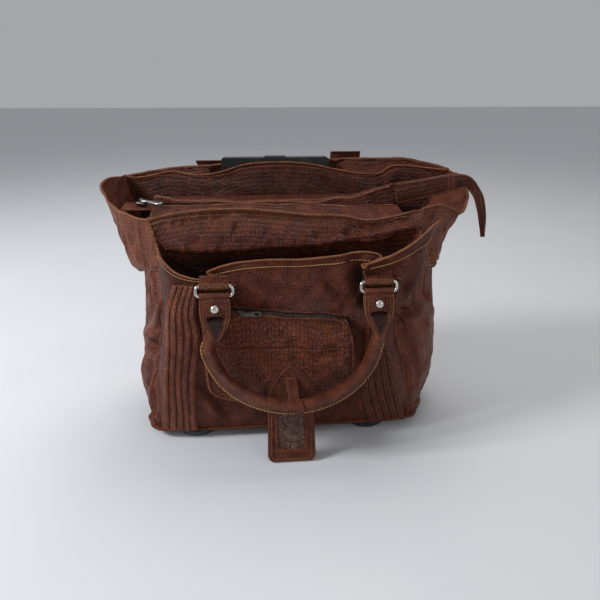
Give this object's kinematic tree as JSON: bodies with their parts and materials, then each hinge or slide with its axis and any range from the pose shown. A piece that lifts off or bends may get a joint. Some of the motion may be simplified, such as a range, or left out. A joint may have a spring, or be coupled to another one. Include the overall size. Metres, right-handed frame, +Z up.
{
  "type": "rolling tote bag",
  "caption": "Soft embossed faux-leather rolling tote with zipped mouth, front pockets, two carry handles, luggage tag, telescopic trolley handle and rear wheels.",
  "frame": {"origin": "middle of the whole object's box, on the floor that the feet and wheels stand on", "axes": "+Z up, +Y to the trolley side at the back, +X to the viewer's right seen from the front, where the zip tail hangs"},
  "size_m": [0.543, 0.2782, 0.358],
  "materials": {
    "croc_leather": "embossed faux leather, soft sheen",
    "handle_leather": "rolled faux leather with worn golden edges",
    "zip_tape": "woven tape with moulded teeth",
    "stiffener_board": "pressed fibreboard",
    "black_plastic": "fine moulded grain",
    "button_plastic": "ribbed satin",
    "hub_plastic": "satin",
    "wheel_rubber": "smooth rubber",
    "nickel_plate": "polished nickel",
    "trolley_tube": "satin anodised",
    "zinc_steel": "zinc plate",
    "clear_film": "clear soft film",
    "card": "blank card"
  },
  "bodies": {
    "bag": {"front_panel": "croc_leather", "back_panel": "croc_leather", "left_gusset": "croc_leather", "right_gusset": "croc_leather", "left_wing": "croc_leather", "right_wing": "croc_leather", "bottom_panel": "croc_leather", "base_board": "stiffener_board", "back_board": "stiffener_board", "trolley_cover": "croc_leather", "outer_front_panel": "croc_leather", "left_piped_band": "croc_leather", "right_piped_band": "croc_leather", "front_pocket": "croc_leather", "pocket_zip_tape": "zip_tape", "front_ring_loops": "croc_leather", "rear_ring_loops": "croc_leather", "zip_start_tab": "croc_leather", "wheel_housings": "black_plastic", "wheel_axles": "zinc_steel", "base_screws": "zinc_steel", "front_feet": "black_plastic", "fixed_tubes": "trolley_tube", "trolley_bezel": "black_plastic", "trolley_bracket": "black_plastic"},
    "zip_end": {"zip_tail": "croc_leather"},
    "front_flap": {"front_zip_flap": "croc_leather", "front_zip_tape": "zip_tape"},
    "rear_flap": {"rear_zip_flap": "croc_leather", "rear_zip_tape": "zip_tape"},
    "main_slider": {"main_zip_slider": "nickel_plate"},
    "main_pull": {"main_zip_pull": "nickel_plate"},
    "pocket_slider": {"pocket_zip_slider": "nickel_plate"},
    "pocket_pull": {"pocket_zip_pull": "nickel_plate"},
    "front_handle": {"front_handle_roll": "handle_leather", "front_handle_tabs": "handle_leather", "front_rings": "nickel_plate", "front_rivets": "nickel_plate"},
    "rear_handle": {"rear_handle_roll": "handle_leather", "rear_handle_tabs": "handle_leather", "rear_rings": "nickel_plate", "rear_rivets": "nickel_plate"},
    "luggage_tag": {"tag_body": "croc_leather", "tag_window": "clear_film", "tag_card": "card", "tag_strap": "croc_leather"},
    "stage_one": {"middle_tubes": "trolley_tube"},
    "stage_two": {"inner_tubes": "trolley_tube", "grip_base": "black_plastic", "grip_shell": "black_plastic", "lock_plugs": "black_plastic", "button_spring": "zinc_steel"},
    "grip_button": {"push_button": "button_plastic", "push_rods": "zinc_steel"},
    "latch": {"latch_pins": "zinc_steel"},
    "left_wheel": {"left_tyre": "wheel_rubber", "left_hub": "hub_plastic"},
    "right_wheel": {"right_tyre": "wheel_rubber", "right_hub": "hub_plastic"}
  },
  "joints": [
    {"name": "stage_one_slide", "type": "slide", "parent": "bag", "child": "stage_one", "axis": [0, 0, 1], "range_m": [0, 0.255]},
    {"name": "stage_two_slide", "type": "slide", "parent": "stage_one", "child": "stage_two", "axis": [0, 0, 1], "range_m": [0, 0.255]},
    {"name": "grip_button_press", "type": "slide", "parent": "stage_two", "child": "grip_button", "axis": [0, 0, -1], "range_m": [0, 0.003], "stiffness_N_per_m": 900, "springref_m": -0.001, "deforming": ["button_spring"]},
    {"name": "latch_slide", "type": "slide", "parent": "stage_two", "child": "latch", "axis": [0, -1, 0], "range_m": [0, 0.0025]},
    {"name": "left_wheel_spin", "type": "hinge", "parent": "bag", "child": "left_wheel", "pos_m": [-0.1755, 0.08592, 0.025], "axis": [1, 0, 0], "continuous": true},
    {"name": "right_wheel_spin", "type": "hinge", "parent": "bag", "child": "right_wheel", "pos_m": [0.1125, 0.08592, 0.025], "axis": [1, 0, 0], "continuous": true},
    {"name": "front_handle_swing", "type": "hinge", "parent": "bag", "child": "front_handle", "pos_m": [-0.0125, -0.08708, 0.234], "axis": [-1, 0, 0], "range_deg": [0, 164]},
    {"name": "tag_swing", "type": "hinge", "parent": "front_handle", "child": "luggage_tag", "pos_m": [-0.0175, -0.12797, 0.08657], "axis": [-1, 0, 0], "range_deg": [-164, 0]},
    {"name": "rear_handle_swing", "type": "hinge", "parent": "bag", "child": "rear_handle", "pos_m": [-0.0255, 0.11992, 0.336], "axis": [1, 0, 0], "range_deg": [0, 170]},
    {"name": "main_zip_slide", "type": "slide", "parent": "bag", "child": "main_slider", "axis": [1, 0, 0], "range_m": [0, 0.33]},
    {"name": "main_pull_flip", "type": "hinge", "parent": "main_slider", "child": "main_pull", "pos_m": [-0.2095, 0.02192, 0.3126], "axis": [-0.5736, -0.8192, 0], "range_deg": [0, 150]},
    {"name": "front_flap_fold", "type": "hinge", "parent": "bag", "child": "front_flap", "pos_m": [-0.0315, -0.03408, 0.30525], "axis": [-1, 0, 0], "range_deg": [0, 75]},
    {"name": "rear_flap_fold", "type": "hinge", "parent": "bag", "child": "rear_flap", "pos_m": [-0.0315, 0.08392, 0.30525], "axis": [1, 0, 0], "range_deg": [0, 75]},
    {"name": "zip_tail_lift", "type": "hinge", "parent": "bag", "child": "zip_end", "pos_m": [0.1385, 0.02692, 0.3075], "axis": [0, -1, 0], "range_deg": [0, 25]},
    {"name": "pocket_zip_slide", "type": "slide", "parent": "bag", "child": "pocket_slider", "axis": [1, 0, 0], "range_m": [0, 0.092]},
    {"name": "pocket_pull_flip", "type": "hinge", "parent": "pocket_slider", "child": "pocket_pull", "pos_m": [-0.0815, -0.09245, 0.19823], "axis": [0, -0.1733, -0.9849], "range_deg": [0, 115]}
  ],
  "couplings": [
    {"joint": "latch_slide", "follows": "grip_button_press", "ratio": 0.83},
    {"joint": "tag_swing", "follows": "front_handle_swing", "ratio": -1},
    {"joint": "front_flap_fold", "follows": "main_zip_slide", "rad_per_m": 3.96},
    {"joint": "rear_flap_fold", "follows": "main_zip_slide", "rad_per_m": 3.96}
  ]
}
